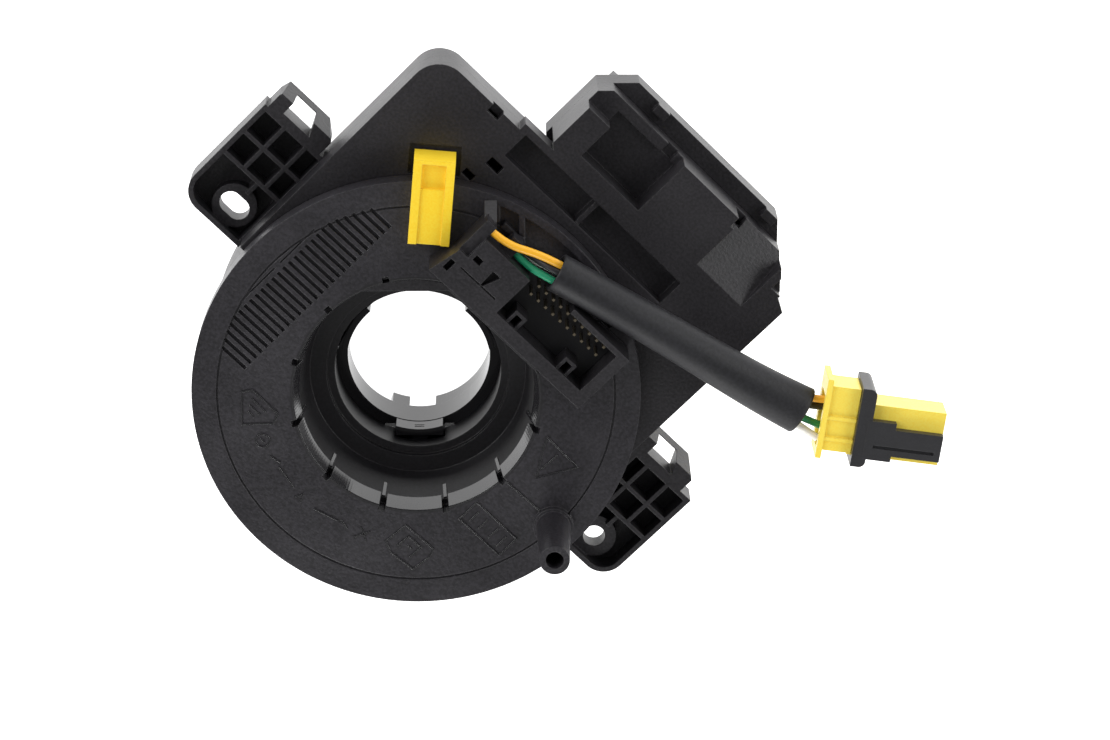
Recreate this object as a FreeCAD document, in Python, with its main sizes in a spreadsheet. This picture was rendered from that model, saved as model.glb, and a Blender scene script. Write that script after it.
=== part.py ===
import FreeCAD
import Part
import Sketcher
import math
import os
from types import SimpleNamespace
from FreeCAD import Placement, Rotation, Vector

# Steering clock spring lying on its rear side, in millimetres.
# Z is the rotation axis and points towards the steering wheel. X runs along the two bolt holes,
# and Y points towards the vehicle sockets. The rear plane is z = 0.

# Driving sizes: name, value.
SIZES = [
    # Rotor disc and hub
    ("disc_radius", 55.0),
    ("disc_face", 48.0),
    ("disc_plate", 2.6),
    ("skirt_drop", 5.4),
    ("skirt_wall", 1.8),
    ("groove_radius", 48.7),
    ("groove_wide", 0.5),
    ("groove_deep", 0.4),
    ("opening_radius", 30.3),
    ("tooth_height", 5.4),
    ("tooth_gap", 1.7),
    ("tooth_gap_reach", 1.3),
    ("tooth_count", 12.0),
    ("tooth_first", -2.0),
    ("hub_radius", 33.0),
    ("hub_wall", 1.8),
    ("hub_rear", 10.2),
    ("funnel_top_radius", 30.0),
    ("funnel_foot_radius", 27.0),
    ("funnel_floor", 30.0),
    ("funnel_wall", 2.0),
    ("collar_bore_radius", 20.8),
    ("collar_wall", 2.0),
    ("collar_drop", 1.5),
    # Rear sleeve
    ("bore_radius", 18.0),
    ("sleeve_wall", 2.0),
    ("sleeve_top", 18.0),
    ("sleeve_rim", 7.5),
    ("skirt_step", 0.4),
    ("sleeve_ledge_radius", 24.0),
    ("flange_low", 8.6),
    ("flange_thick", 1.4),
    ("flange_radius", 37.0),
    ("skirt_from", -33.0),
    ("skirt_to", 62.0),
    ("tab_from", -68.0),
    ("tab_to", -54.0),
    ("latch_count", 3.0),
    ("latch_wide", 12.2),
    ("latch_tall", 5.7),
    ("latch_thick", 1.4),
    ("latch_radius", 19.7),
    ("latch_first", -45.0),
    ("latch_stem", 4.0),
    ("latch_nub", 0.8),
    ("latch_relief", 4.0),
    ("relief_from", 18.6),
    ("relief_to", 20.3),
    ("relief_wide", 2.4),
    # Vent grille in the disc
    ("slot_pitch", 1.95),
    ("slot_wide", 0.9),
    ("slot_deep", 1.0),
    ("slot_inner_x", -34.7),
    ("slot_arc_radius", 49.0),
    ("slot_long", 11.4),
    ("upper_slots", 14.0),
    ("lower_slots", 13.0),
    ("upper_slots_from", 0.95),
    ("lower_slots_from", -24.4),
    ("border_x", -47.6),
    ("border_wide", 0.4),
    ("border_low", -12.5),
    ("border_gap_low", -0.3),
    ("border_gap_high", 1.7),
    ("border_high", 13.6),
    # Drive post on the disc
    ("post_x", 48.0),
    ("post_y", -0.6),
    ("post_tall", 22.0),
    ("post_foot_radius", 5.0),
    ("post_foot_tall", 1.6),
    ("post_radius", 4.3),
    ("post_tip_radius", 3.7),
    ("post_bore_radius", 2.2),
    # Recess behind the front socket
    ("recess_half", 21.0),
    ("recess_from_y", 45.6),
    ("recess_reach", 53.0),
    ("recess_deep", 1.8),
    ("recess_corner", 20.7),
    ("recess_rib_from", 25.25),
    ("recess_rib_wide", 1.45),
    # Front socket housing
    ("front_left", -22.8),
    ("front_right", 27.7),
    ("front_low", 28.0),
    ("front_high", 45.4),
    ("front_step_x", -5.4),
    ("front_step_y", 43.0),
    ("front_left_high_x", -21.2),
    ("front_left_high_y", 36.0),
    ("front_tall", 9.6),
    ("front_wall_tall", 1.4),
    ("front_wall_notch", 9.0),
    ("cavity_left", -3.7),
    ("cavity_right", 24.7),
    ("cavity_low", 31.6),
    ("cavity_high", 44.0),
    ("chord_y", 25.2),
    ("chord_slanted", 27.3),
    ("chord_angle", 135.0),
    ("web_thick", 3.0),
    ("key_size", 3.6),
    ("key_tall", 8.4),
    ("key_deep", 3.6),
    ("key_wall", 0.8),
    ("key_left_x", -0.4),
    ("key_right_x", 16.5),
    ("guide_left", -13.2),
    ("guide_right", -10.0),
    ("guide_reach", 4.2),
    ("guide_tall", 5.4),
    ("guide_foot_left", -16.2),
    ("guide_foot_right", -11.9),
    ("hood_left", -21.2),
    ("hood_right", -18.3),
    ("hood_low", 36.8),
    ("hood_reach", 3.5),
    ("hood_tall", 8.4),
    ("hood_wedge_inner", 45.3),
    ("hood_wedge_top", 46.3),
    ("hood_wedge_foot", 50.4),
    ("hood_wedge_tall", 5.0),
    ("hood_wedge_low", 17.0),
    ("hood_wedge_high", 20.0),
    ("slit_left", -21.0),
    ("slit_wide", 1.5),
    ("slit_low", 30.8),
    ("slit_long", 3.0),
    ("slit_deep", 3.0),
    ("eye_left", -17.2),
    ("eye_wide", 2.3),
    ("eye_low", 37.1),
    ("eye_long", 1.6),
    ("eye_deep", 3.0),
    ("dent_left", -11.6),
    ("dent_foot_left", -11.4),
    ("dent_foot_right", -10.8),
    ("dent_right", -9.1),
    ("dent_low", 34.0),
    ("dent_high", 38.5),
    ("dent_deep", 2.0),
    ("seam_left", -17.8),
    ("seam_right", -6.3),
    ("seam_y", 33.6),
    ("seam_wide", 0.4),
    ("seam_deep", 0.4),
    # Front pins
    ("front_block_thick", 1.6),
    ("front_pin_columns", 10.0),
    ("front_pin_pitch", 2.45),
    ("front_pin_first_x", -0.8),
    ("front_pin_row_1", 39.9),
    ("front_pin_row_2", 42.6),
    ("front_pin_side", 0.64),
    ("front_pin_tall", 5.4),
    # Stator ring, case and cover
    ("ring_wall", 2.2),
    ("ring_rear", 8.0),
    ("floor_low", 10.5),
    ("floor_thick", 1.9),
    ("floor_hole_radius", 33.5),
    ("rim_wide", 3.3),
    ("split", 34.5),
    ("flange_bottom", 26.5),
    ("face", 42.0),
    ("wall", 2.0),
    ("shell_left", -55.9),
    ("shell_right", 50.0),
    ("shell_top", 64.8),
    ("shell_foot", -4.0),
    ("shoulder_corner", 7.5),
    # Block with the vehicle sockets
    ("block_left", -20.6),
    ("block_top", 90.8),
    ("block_right", 46.5),
    ("block_neck", 3.3),
    ("block_shoulder_y", 77.0),
    ("block_step", 1.8),
    ("block_chamfer", 7.3),
    ("block_wide_chamfer", 11.0),
    ("block_bottom", 20.0),
    ("block_split", 28.0),
    ("cover_top", 86.3),
    ("ledge_face", 35.0),
    ("ledge_low", 80.3),
    ("ledge_right", 6.1),
    ("pocket_left", -13.5),
    ("pocket_low", 70.5),
    ("pocket_under", 3.2),
    ("pocket_deep", 9.0),
    ("peephole_left", -31.0),
    ("peephole_wide", 3.0),
    ("peephole_low", 47.2),
    ("peephole_long", 1.8),
    ("keyhole_left", -28.5),
    ("keyhole_wide", 4.0),
    ("keyhole_low", 53.0),
    ("keyhole_long", 2.3),
    ("edge_notch_left", -37.5),
    ("edge_notch_wide", 3.5),
    ("edge_notch_deep", 2.3),
    ("edge_notch_tall", 3.0),
    ("nub_left_x", -6.5),
    ("nub_right_x", 31.4),
    ("nub_wide", 3.8),
    ("nub_thick", 2.4),
    ("nub_tall", 2.5),
    ("catch_left_x", 1.0),
    ("catch_right_x", 24.9),
    ("catch_wide", 3.4),
    ("catch_long", 2.8),
    ("catch_deep", 2.4),
    ("ramp_left", 26.0),
    ("ramp_right", 41.5),
    ("ramp_from", 71.0),
    ("corner_step_y", 79.5),
    ("corner_step_deep", 3.0),
    ("trough_left", -26.6),
    ("trough_right", 26.8),
    ("trough_low", 57.6),
    ("trough_deep", 5.0),
    ("trough_rib_x", -2.0),
    ("trough_rib_wide", 1.2),
    ("socket_low_y", 70.0),
    ("socket_high_y", 84.0),
    ("left_socket_x", -14.0),
    ("left_socket_wide", 24.0),
    ("right_socket_x", 17.0),
    ("right_socket_wide", 22.0),
    ("socket_wall", 1.8),
    ("header_inset", 2.5),
    ("vehicle_block_thick", 4.6),
    ("vehicle_pin_side", 0.64),
    ("vehicle_pin_pitch", 2.2),
    ("vehicle_pin_tip", 9.0),
    # Ears
    ("ear_left_x", -75.1),
    ("ear_right_x", 72.3),
    ("ear_low", -6.4),
    ("ear_high", 24.6),
    ("ear_corner", 6.0),
    ("ear_wall", 1.3),
    ("ear_base", 2.0),
    ("bolt_x", 62.5),
    ("boss_radius", 5.6),
    ("boss_tall", 5.5),
    ("bolt_radius", 2.8),
    ("slot_half", 1.2),
    ("left_rib_1", -67.7),
    ("left_rib_2", -60.6),
    ("right_rib_1", 57.7),
    ("right_rib_2", 65.0),
    ("ear_inner_right", 54.0),
    ("ear_rib", 1.1),
    ("ear_rib_low", 9.0),
    ("ear_rib_high", 16.1),
    ("loop_left_x", -74.2),
    ("loop_right_x", 51.4),
    ("loop_long", 17.1),
    ("loop_bevel", 0.9),
    ("loop_slant_from", 13.0),
    ("loop_shoulder_y", 28.6),
    ("loop_top_y", 32.0),
    ("loop_hole_low", 26.0),
    ("loop_hole_high", 30.4),
    ("loop_hole_from", 3.8),
    ("loop_hole_long", 6.4),
    ("loop_hole_slant", 2.2),
    ("strap_tall", 3.0),
    ("leg_slope_y", 29.4),
    ("leg_slope", 77.0),
    ("leg_cut_thick", 8.0),
    # Ribbon and films
    ("film_thick", 0.3),
    ("film_gap", 0.3),
    ("ribbon_low", 14.5),
    ("ribbon_wide", 28.0),
    ("ribbon_thick", 0.35),
    ("ribbon_half_turns", 8.0),
    ("clip_wide", 5.0),
    ("clip_lap", 1.0),
    ("clip_thick", 2.6),
    # Lock tab
    ("lock_angle", 130.0),
    ("lock_reach", 14.7),
    ("lock_long", 21.0),
    ("lock_wide", 10.0),
    ("lock_thick", 3.4),
    ("lock_window", 5.8),
    ("lock_window_from", 1.0),
    ("lock_window_long", 6.2),
    ("lock_window_deep", 1.6),
    ("lock_tray_deep", 0.6),
    ("lock_seat_long", 7.5),
    ("lock_seat_wide", 12.5),
    ("lock_seat_deep", 1.0),
    # Harness
    ("wire_size", 1.9),
    ("sleeve_size", 9.6),
    ("sleeve_bore", 7.4),
    # Airbag plug
    ("plug_x", 73.1),
    ("plug_y", 67.0),
    ("plug_z", 48.4),
    ("plug_angle", 37.0),
    ("plug_rear_long", 8.6),
    ("plug_rear_wide", 16.8),
    ("plug_tall", 8.4),
    ("plug_lip", 1.4),
    ("plug_lip_proud", 1.9),
    ("plug_nose_long", 21.8),
    ("plug_nose_wide", 13.7),
    ("plug_nose_tall", 8.0),
    ("plug_nose_y", -1.95),
    ("plug_rib_wide", 1.0),
    ("plug_rib_tall", 0.6),
    ("plug_rib_1", 0.3),
    ("plug_rib_2", -5.2),
    ("plug_rear_hole_low", -8.0),
    ("plug_rear_hole_high", 5.7),
    ("plug_rear_hole_tall", 6.0),
    ("plug_rear_hole_z", 0.6),
    ("plug_rear_hole_deep", 1.2),
    ("plug_mouth_wall", 1.4),
    ("plug_mouth_deep", 13.0),
    ("contact_long", 4.0),
    ("contact_side", 0.8),
    ("contact_pitch", 3.0),
    ("contact_count", 4.0),
    ("lock_plate_thick", 3.6),
    ("lock_plate_wide", 20.4),
    ("lock_plate_tall", 12.4),
    ("lock_plate_y", -0.8),
    ("lock_plate_round", 1.6),
    ("lock_bar_to", 18.3),
    ("lock_bar_low", -8.7),
    ("lock_bar_high", 1.4),
    ("lock_finger_to", 30.2),
    ("lock_finger_low", -7.2),
    ("lock_finger_high", -0.3),
    ("lock_groove_from", 13.4),
    ("lock_groove_to", 28.6),
    ("lock_groove_y", -5.2),
    ("lock_groove_wide", 0.8),
    ("lock_groove_deep", 0.6),
    ("lock_bar_thick", 2.0),
    # Clearances
    ("fit", 0.1),
    ("skirt_gap", 0.4),
    ("hook_gap", 0.6),
    ("gap", 0.3),
    ("latch_play", 0.3),
    ("clip_seat", 0.2),
    ("ribbon_gap", 0.1),
    ("over", 1.0),
]


class Size(float):
    """A number that remembers the sheet expression it is worked out from."""

    def __new__(cls, value, text):
        size = super().__new__(cls, value)
        size.text = text
        return size

    def __add__(self, other):
        return Size(float(self) + float(other), f"({self.text} + {words(other)})")

    def __radd__(self, other):
        return Size(float(other) + float(self), f"({words(other)} + {self.text})")

    def __sub__(self, other):
        return Size(float(self) - float(other), f"({self.text} - {words(other)})")

    def __rsub__(self, other):
        return Size(float(other) - float(self), f"({words(other)} - {self.text})")

    def __mul__(self, other):
        return Size(float(self) * float(other), f"({self.text} * {words(other)})")

    def __rmul__(self, other):
        return Size(float(other) * float(self), f"({words(other)} * {self.text})")

    def __truediv__(self, other):
        return Size(float(self) / float(other), f"({self.text} / {words(other)})")

    def __neg__(self):
        return Size(-float(self), f"(0 - {self.text})")


def words(value):
    """The sheet expression of a size, or a plain number written out."""
    return value.text if isinstance(value, Size) else repr(float(value))


os.makedirs("parts", exist_ok=True)
doc = FreeCAD.newDocument("steering_clock_spring")
sheet = doc.addObject("Spreadsheet::Sheet", "Sizes")
for row, (name, number) in enumerate(SIZES, start=1):
    sheet.set(f"A{row}", name)
    sheet.set(f"B{row}", str(number))
    sheet.setAlias(f"B{row}", name)
doc.recompute()
s = SimpleNamespace(**{name: Size(number, f"Sizes.{name}") for name, number in SIZES})
ring_radius = s.disc_radius - s.skirt_wall - s.skirt_gap
collar_radius = s.collar_bore_radius + s.collar_wall
nodes = {}


def bind(item, name, value):
    item.setExpression(name, words(value))


def place(item, x=0.0, y=0.0, z=0.0):
    bind(item, "Placement.Base.x", x)
    bind(item, "Placement.Base.y", y)
    bind(item, "Placement.Base.z", z)
    return item


def box(name, x, y, z):
    """Block between two corners; x, y and z are (low, high) pairs."""
    item = doc.addObject("Part::Box", name)
    bind(item, "Length", x[1] - x[0])
    bind(item, "Width", y[1] - y[0])
    bind(item, "Height", z[1] - z[0])
    return place(item, x[0], y[0], z[0])


def sloped_box(name, x, long, tall, y, z, degrees):
    """Block from a line along X at (y, z), whose long side runs down at an angle towards +Y."""
    item = doc.addObject("Part::Box", name)
    bind(item, "Length", x[1] - x[0])
    bind(item, "Width", long)
    bind(item, "Height", tall)
    item.Placement = Placement(Vector(), Rotation(Vector(1, 0, 0), -float(degrees)))
    return place(item, x[0], y, z)


def wedge(name, x, y, z, x_top):
    """Block whose far face along X leans in from x[1] at the foot to x_top at the top."""
    item = doc.addObject("Part::Wedge", name)
    for side, value in (("Xmin", x[0]), ("Xmax", x[1]), ("X2min", x[0]), ("X2max", x_top),
                        ("Ymin", z[0]), ("Ymax", z[1]), ("Zmin", -y[1]), ("Zmax", -y[0]),
                        ("Z2min", -y[1]), ("Z2max", -y[0])):
        bind(item, side, value)
    item.Placement = Placement(Vector(), Rotation(Vector(1, 0, 0), 90))
    return item


def cylinder(name, radius, z, x=0.0, y=0.0):
    item = doc.addObject("Part::Cylinder", name)
    bind(item, "Radius", radius)
    bind(item, "Height", z[1] - z[0])
    return place(item, x, y, z[0])


def outline(sketch, corners):
    """Closed straight outline whose corners are each held by two sizes."""
    count = len(corners)
    points = [Vector(float(x), float(y), 0) for x, y in corners]
    for index in range(count):
        sketch.addGeometry(Part.LineSegment(points[index], points[(index + 1) % count]), False)
    for index in range(count):
        sketch.addConstraint(Sketcher.Constraint("Coincident", index, 2, (index + 1) % count, 1))
    for index, corner in enumerate(corners):
        for kind, value in zip(("DistanceX", "DistanceY"), corner):
            number = sketch.addConstraint(
                Sketcher.Constraint(kind, -1, 1, index, 1, float(value)))
            sketch.setExpression(f"Constraints[{number}]", words(value))


def prism(name, corners, z):
    """Straight-sided solid on an outline in plan, between two heights."""
    sketch = doc.addObject("Sketcher::SketchObject", name + "_outline")
    outline(sketch, corners)
    place(sketch, z=z[0])
    item = doc.addObject("Part::Extrusion", name)
    item.Base = sketch
    item.DirMode = "Custom"
    item.Dir = Vector(0, 0, 1)
    item.Solid = True
    bind(item, "LengthFwd", z[1] - z[0])
    return item


def origin_plane(body, role):
    return next(item for item in body.Origin.OriginFeatures if item.Role == role)


def turned(name, profile, degrees=360.0, start=0.0):
    """Body made by turning a profile of (radius, height) corners about Z."""
    body = doc.addObject("PartDesign::Body", name)
    sketch = body.newObject("Sketcher::SketchObject", name + "_profile")
    sketch.AttachmentSupport = [(origin_plane(body, "XZ_Plane"), "")]
    sketch.MapMode = "FlatFace"
    outline(sketch, profile)
    feature = body.newObject("PartDesign::Revolution", name + "_turn")
    feature.Profile = sketch
    feature.ReferenceAxis = (sketch, ["V_Axis"])
    bind(feature, "Angle", degrees)
    body.Tip = feature
    body.Placement = Placement(Vector(), Rotation(Vector(0, 0, 1), float(start)))
    return body


def tube(name, inner, outer, z):
    return turned(name, [(inner, z[0]), (outer, z[0]), (outer, z[1]), (inner, z[1])])


def join(name, *pieces):
    item = doc.addObject("Part::MultiFuse", name)
    item.Shapes = list(pieces)
    return item


def common(name, *pieces):
    item = doc.addObject("Part::MultiCommon", name)
    item.Shapes = list(pieces)
    return item


def cut(name, base, *tools):
    item = doc.addObject("Part::Cut", name)
    item.Base = base
    item.Tool = tools[0] if len(tools) == 1 else join(name + "_tools", *tools)
    return item


def group(name, *pieces):
    item = doc.addObject("Part::Compound", name)
    item.Links = list(pieces)
    return item


def rounded(name, base, radius, wanted):
    """Rounds the edges of base whose mid-points the wanted function accepts."""
    doc.recompute()
    item = doc.addObject("Part::Fillet", name)
    item.Base = base
    edges = []
    for number, edge in enumerate(base.Shape.Edges, start=1):
        middle = edge.valueAt((edge.FirstParameter + edge.LastParameter) / 2)
        if wanted(edge, middle):
            edges.append((number, float(radius), float(radius)))
    item.Edges = edges
    return item


def upright(edge):
    first, last = edge.Vertexes[0].Point, edge.Vertexes[-1].Point
    return math.hypot(first.x - last.x, first.y - last.y) < 0.001 < abs(first.z - last.z)


def spun(name, degrees, *pieces):
    """The pieces as one group, turned about the rotor axis."""
    item = group(name, *pieces)
    item.Placement = Placement(Vector(), Rotation(Vector(0, 0, 1), float(degrees)))
    bind(item, "Placement.Rotation.Angle", degrees)
    return item


def node(item, label):
    item.Label = label
    nodes[label] = item
    return item


# Rotor disc, hub, funnel, collar and drive post, moulded in one

def make_vent_slots():
    """Two rows of slots, one below the other, whose outer ends follow the disc's edge."""
    slots = []
    for start, count in ((s.upper_slots_from, s.upper_slots), (s.lower_slots_from, s.lower_slots)):
        for index in range(int(count)):
            low = start + s.slot_pitch * index
            reach = math.sqrt(s.slot_arc_radius ** 2 - float(low) ** 2) + float(s.slot_inner_x)
            long = s.slot_long if reach > s.slot_long else reach
            slots.append(box(f"vent_{len(slots)}", (s.slot_inner_x - long, s.slot_inner_x),
                             (low, low + s.slot_wide),
                             (s.disc_face - s.slot_deep, s.disc_face + s.over)))
    return slots


def make_rotor_disc():
    face = s.disc_face
    under = face - s.disc_plate
    tooth_foot = face - s.tooth_height
    funnel_under = s.funnel_floor - s.funnel_wall
    turning = turned("rotor_turning", [
        (s.opening_radius, face),
        (s.disc_radius, face),
        (s.disc_radius, face - s.skirt_drop),
        (s.disc_radius - s.skirt_wall, face - s.skirt_drop),
        (s.disc_radius - s.skirt_wall, under),
        (s.hub_radius, under),
        (s.hub_radius, s.hub_rear),
        (s.hub_radius - s.hub_wall, s.hub_rear),
        (s.hub_radius - s.hub_wall, tooth_foot - s.funnel_wall),
        (s.funnel_foot_radius + s.funnel_wall, funnel_under),
        (collar_radius - s.fit, funnel_under),
        (collar_radius - s.fit, s.sleeve_top + s.fit),
        (s.collar_bore_radius, s.sleeve_top + s.fit),
        (s.collar_bore_radius, s.funnel_floor - s.collar_drop),
        (collar_radius, s.funnel_floor - s.collar_drop),
        (collar_radius, s.funnel_floor),
        (s.funnel_foot_radius, s.funnel_floor),
        (s.funnel_top_radius, tooth_foot),
        (s.opening_radius, tooth_foot),
    ])
    post = doc.addObject("Part::Cone", "post_shaft")
    bind(post, "Radius1", s.post_radius)
    bind(post, "Radius2", s.post_tip_radius)
    bind(post, "Height", s.post_tall)
    place(post, s.post_x, s.post_y, face)
    foot = cylinder("post_foot", s.post_foot_radius,
                    (face - s.disc_plate / 2, face + s.post_foot_tall), s.post_x, s.post_y)
    bore = cylinder("post_bore", s.post_bore_radius,
                    (face + s.post_foot_tall, face + s.post_tall + s.over), s.post_x, s.post_y)
    groove = tube("disc_groove", s.groove_radius - s.groove_wide / 2,
                  s.groove_radius + s.groove_wide / 2, (face - s.groove_deep, face + s.over))
    recess_zone = (face - s.recess_deep, face + s.over)
    slanted = (-s.disc_radius, s.disc_radius)
    recess_plan = common("recess_plan", cylinder("recess_disc", s.recess_reach, recess_zone),
                         box("recess_box", (-s.recess_half, s.recess_half),
                             (s.recess_from_y, s.disc_radius), recess_zone),
                         spun("recess_corner", s.chord_angle,
                              box("recess_corner_box", slanted, (-s.disc_radius, -s.recess_corner),
                                  recess_zone)))
    recess = cut("rear_recess", recess_plan,
                 spun("recess_rib", s.chord_angle,
                      box("recess_rib_box", slanted,
                          (-s.recess_rib_from - s.recess_rib_wide, -s.recess_rib_from), recess_zone)))
    tools = [bore, groove, recess]
    for index, y in enumerate(((s.border_low, s.border_gap_low), (s.border_gap_high, s.border_high))):
        tools.append(box(f"border_{index}", (s.border_x, s.border_x + s.border_wide), y,
                         (face - s.groove_deep, face + s.over)))
    for index in range(int(s.tooth_count)):
        gap = box(f"tooth_gap_{index}",
                  (s.funnel_top_radius - s.over, s.opening_radius + s.tooth_gap_reach),
                  (-s.tooth_gap / 2, s.tooth_gap / 2), (tooth_foot, face + s.over))
        tools.append(spun(f"tooth_gap_turned_{index}", s.tooth_first + 360 / s.tooth_count * index, gap))
    for index in range(int(s.latch_count)):
        window = box(f"latch_window_{index}",
                     (s.collar_bore_radius - s.over, collar_radius + s.over),
                     (-s.latch_wide / 2 - s.latch_play, s.latch_wide / 2 + s.latch_play),
                     (s.sleeve_top - s.over, s.sleeve_top + s.latch_tall + s.latch_play))
        tools.append(spun(f"latch_window_turned_{index}",
                          s.latch_first + 360 / s.latch_count * index, window))
    tools += make_vent_slots()
    node(cut("rotor_disc", join("rotor_solid", turning, foot, post), *tools), "rotor_disc")


# Rear sleeve: bore, flange that holds the stator, skirt, drive tab and latches, moulded in one

def make_rear_sleeve():
    bore = s.bore_radius
    wall = bore + s.sleeve_wall
    ledge = s.sleeve_ledge_radius
    top = s.sleeve_top
    turning = turned("sleeve_turning", [
        (bore, s.sleeve_rim),
        (wall, s.sleeve_rim),
        (wall, top - s.sleeve_wall),
        (ledge - s.sleeve_wall, top - s.sleeve_wall),
        (ledge - s.sleeve_wall, s.flange_low),
        (s.flange_radius, s.flange_low),
        (s.flange_radius, s.flange_low + s.flange_thick),
        (ledge, s.flange_low + s.flange_thick),
        (ledge, top),
        (bore, top),
    ])
    pieces = [turning]
    skirt_inner = bore + s.skirt_step
    skirt_top = s.sleeve_rim + s.over
    skirt_profile = [(skirt_inner, 0), (wall, 0), (wall, skirt_top), (skirt_inner, skirt_top)]
    pieces.append(turned("sleeve_skirt", skirt_profile, s.skirt_to - s.skirt_from, s.skirt_from))
    pieces.append(turned("drive_tab", skirt_profile, s.tab_to - s.tab_from, s.tab_from))
    reliefs = []
    for index in range(int(s.latch_count)):
        angle = s.latch_first + 360 / s.latch_count * index
        tongue = box(f"latch_tongue_{index}", (s.latch_radius - s.latch_thick, s.latch_radius),
                     (-s.latch_wide / 2, s.latch_wide / 2), (top - s.over, top + s.latch_tall))
        nub = box(f"latch_nub_{index}", (s.latch_radius - s.over, s.collar_bore_radius + s.latch_nub),
                  (-s.latch_stem / 2, s.latch_stem / 2),
                  (top + s.latch_tall - s.latch_stem, top + s.latch_tall - s.over))
        pieces.append(spun(f"latch_{index}", angle, join(f"latch_solid_{index}", tongue, nub)))
        beside = s.latch_wide / 2 + s.gap
        for side, low in (("a", -beside - s.relief_wide), ("b", beside)):
            relief = box(f"latch_relief_{index}{side}", (s.relief_from, s.relief_to),
                         (low, low + s.relief_wide), (top - s.latch_relief, top + s.over))
            reliefs.append(spun(f"latch_relief_turned_{index}{side}", angle, relief))
    node(cut("rear_sleeve", join("sleeve_solid", *pieces), *reliefs), "rear_sleeve")


# Front socket housing: the socket, its web over the opening and the wire guide

def make_socket_housing():
    face = s.disc_face
    top = face + s.front_tall
    blank = prism("housing_blank", [
        (s.front_left, s.front_low),
        (s.front_right, s.front_low),
        (s.front_right, s.front_high),
        (s.front_step_x, s.front_high),
        (s.front_step_x, s.front_step_y),
        (s.front_left_high_x, s.front_step_y),
        (s.front_left_high_x, s.front_left_high_y),
    ], (face, top))
    guide = box("wire_guide", (s.guide_left, s.guide_right),
                (s.front_step_y - s.over, s.front_step_y + s.guide_reach), (face, face + s.guide_tall))
    guide_foot = box("wire_guide_foot", (s.guide_foot_left, s.guide_foot_right),
                     (s.recess_from_y + s.fit, s.front_step_y + s.guide_reach),
                     (face - s.recess_deep, face + s.over))
    hood_top = face + s.hood_tall
    hood = box("wire_hood", (s.hood_left, s.hood_right),
               (s.front_step_y - s.over, s.front_step_y + s.hood_reach), (face, hood_top))
    hood_wedge = spun("hood_wedge", s.chord_angle,
                      wedge("hood_wedge_blank", (s.hood_wedge_inner, s.hood_wedge_foot),
                            (-s.hood_wedge_high, -s.hood_wedge_low), (face, face + s.hood_wedge_tall),
                            s.hood_wedge_top))
    web_zone = (face - s.web_thick, face)
    web_disc = cylinder("web_disc", s.opening_radius - s.fit, web_zone)
    straight = box("web_straight", (-s.opening_radius, s.opening_radius),
                   (s.chord_y, s.opening_radius + s.over), web_zone)
    slanted = spun("web_slanted", s.chord_angle,
                   box("web_slanted_box", (s.chord_slanted, s.opening_radius + s.over),
                       (-s.opening_radius / 2, s.opening_radius / 2), web_zone))
    web = common("web", web_disc, join("web_zones", straight, slanted))
    solid = join("housing_solid", blank, guide, guide_foot, hood, hood_wedge, web)
    cavity = box("front_cavity", (s.cavity_left, s.cavity_right), (s.cavity_low, s.cavity_high),
                 (face, top + s.over))
    lower_wall = box("front_wall_drop", (s.front_step_x - s.over, s.front_wall_notch),
                     (s.front_step_y, s.front_high + s.over), (face + s.front_wall_tall, top + s.over))
    above = top + s.over
    hood_step = box("hood_step", (s.hood_left - s.over, s.hood_right), (s.hood_low, s.front_step_y + s.over),
                    (hood_top, above))
    slit = box("housing_slit", (s.slit_left, s.slit_left + s.slit_wide), (s.slit_low, s.slit_low + s.slit_long),
               (top - s.slit_deep, above))
    eye = box("housing_eye", (s.eye_left, s.eye_left + s.eye_wide), (s.eye_low, s.eye_low + s.eye_long),
              (top - s.eye_deep, above))
    dent = prism("housing_dent", [(s.dent_foot_left, s.dent_low), (s.dent_foot_right, s.dent_low),
                                  (s.dent_right, s.dent_high), (s.dent_left, s.dent_high)],
                 (top - s.dent_deep, above))
    seam = box("housing_seam", (s.seam_left, s.seam_right), (s.seam_y, s.seam_y + s.seam_wide),
               (top - s.seam_deep, above))
    hollow = cut("housing_hollow", solid, cavity, lower_wall, hood_step, slit, eye, dent, seam)
    keys = []
    for side, left in (("left", s.key_left_x), ("right", s.key_right_x)):
        outer = box(f"key_{side}_outer", (left, left + s.key_size),
                    (s.cavity_low - s.over, s.cavity_low + s.key_deep),
                    (face + s.front_block_thick + s.fit, face + s.key_tall))
        inner = box(f"key_{side}_inner", (left + s.key_wall, left + s.key_size - s.key_wall),
                    (s.cavity_low, s.cavity_low + s.key_deep - s.key_wall),
                    (face + s.front_block_thick, face + s.key_tall + s.over))
        keys.append(cut(f"key_{side}", outer, inner))
    node(join("socket_housing", hollow, *keys), "socket_housing")


def make_front_pins():
    face = s.disc_face
    top = face + s.front_block_thick
    block = box("front_lead_block", (s.cavity_left + s.fit, s.cavity_right - s.fit),
                (s.cavity_low + s.fit, s.cavity_high - s.fit), (face, top))
    node(block, "front_lead_block")
    pins = []
    for row in (s.front_pin_row_1, s.front_pin_row_2):
        for column in range(int(s.front_pin_columns)):
            x = s.front_pin_first_x + s.front_pin_pitch * column
            pins.append(box(f"front_pin_{len(pins)}", (x, x + s.front_pin_side),
                            (row, row + s.front_pin_side), (top, top + s.front_pin_tall)))
    node(group("front_pins", *pins), "front_pins")


# Stator case: chamber ring, flange, ears with cable loops and the vehicle sockets

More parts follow.
